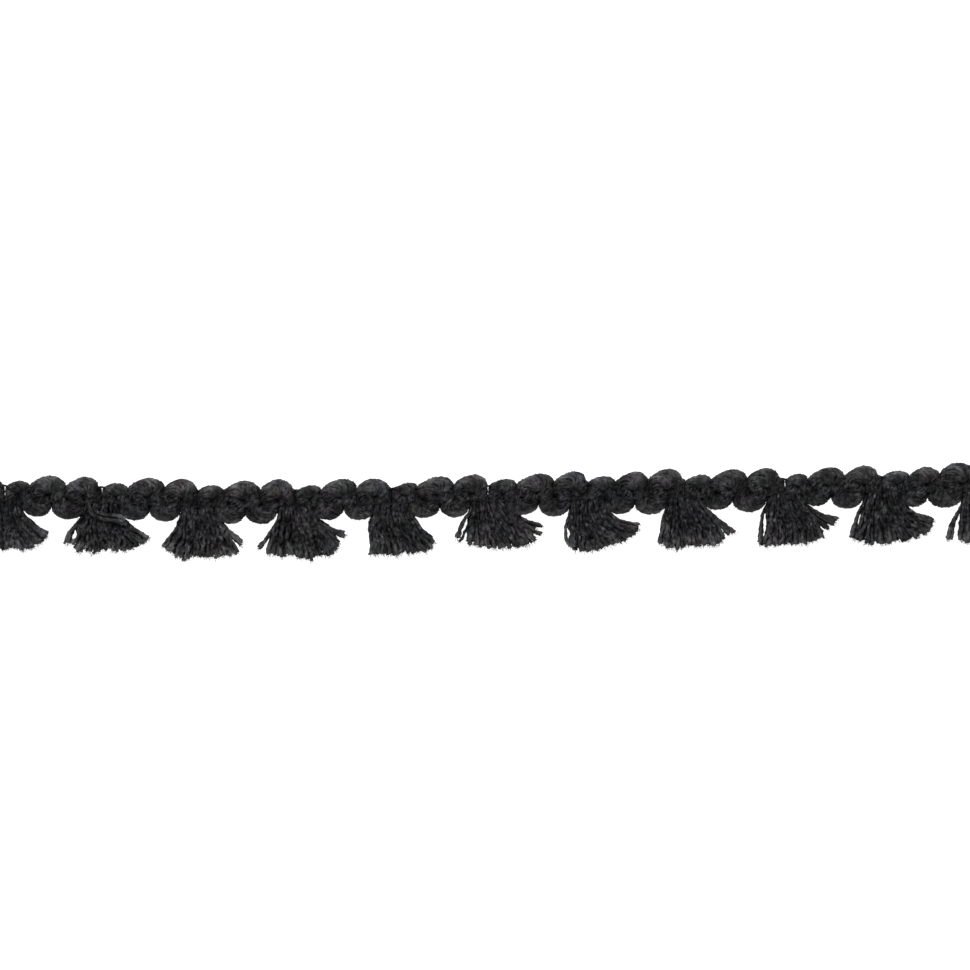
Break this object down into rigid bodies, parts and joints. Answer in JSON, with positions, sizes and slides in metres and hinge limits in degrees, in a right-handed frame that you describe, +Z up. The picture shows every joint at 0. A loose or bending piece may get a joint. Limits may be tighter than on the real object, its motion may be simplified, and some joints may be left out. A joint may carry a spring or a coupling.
{
  "type": "tassel trim",
  "caption": "Narrow yarn trim laid flat: a looped gimp heading bound by two threads, with a small cut fan tassel hanging from every third lower loop.",
  "frame": {"origin": "on the surface under the first cord leg left of the middle tassel, on the heading's middle line", "axes": "+X along the heading, +Y from the tassels towards the upper loops, +Z up from the surface that the trim lies on"},
  "size_m": [0.1871, 0.016, 0.0027],
  "materials": {
    "heading_yarn": "matt charcoal-black cotton-type yarn, laid as a plump bundle",
    "binding_thread": "thin black sewing-type thread, slightly smoother than the yarn",
    "tassel_yarn": "matt charcoal-black two-ply yarn, cut and a little fuzzy"
  },
  "bodies": {
    "root": {"heading_cord_00": "heading_yarn", "heading_cord_01": "heading_yarn", "heading_cord_02": "heading_yarn", "heading_cord_03": "heading_yarn", "heading_cord_04": "heading_yarn", "heading_cord_05": "heading_yarn", "heading_cord_06": "heading_yarn", "heading_cord_07": "heading_yarn", "heading_cord_08": "heading_yarn", "heading_cord_09": "heading_yarn", "heading_cord_10": "heading_yarn", "heading_cord_11": "heading_yarn", "binding_thread_upper": "binding_thread", "binding_thread_lower": "binding_thread", "tassel_01": "tassel_yarn", "tassel_02": "tassel_yarn", "tassel_03": "tassel_yarn", "tassel_04": "tassel_yarn", "tassel_05": "tassel_yarn", "tassel_06": "tassel_yarn", "tassel_07": "tassel_yarn", "tassel_08": "tassel_yarn", "tassel_09": "tassel_yarn", "tassel_10": "tassel_yarn", "tassel_11": "tassel_yarn"}
  },
  "joints": []
}
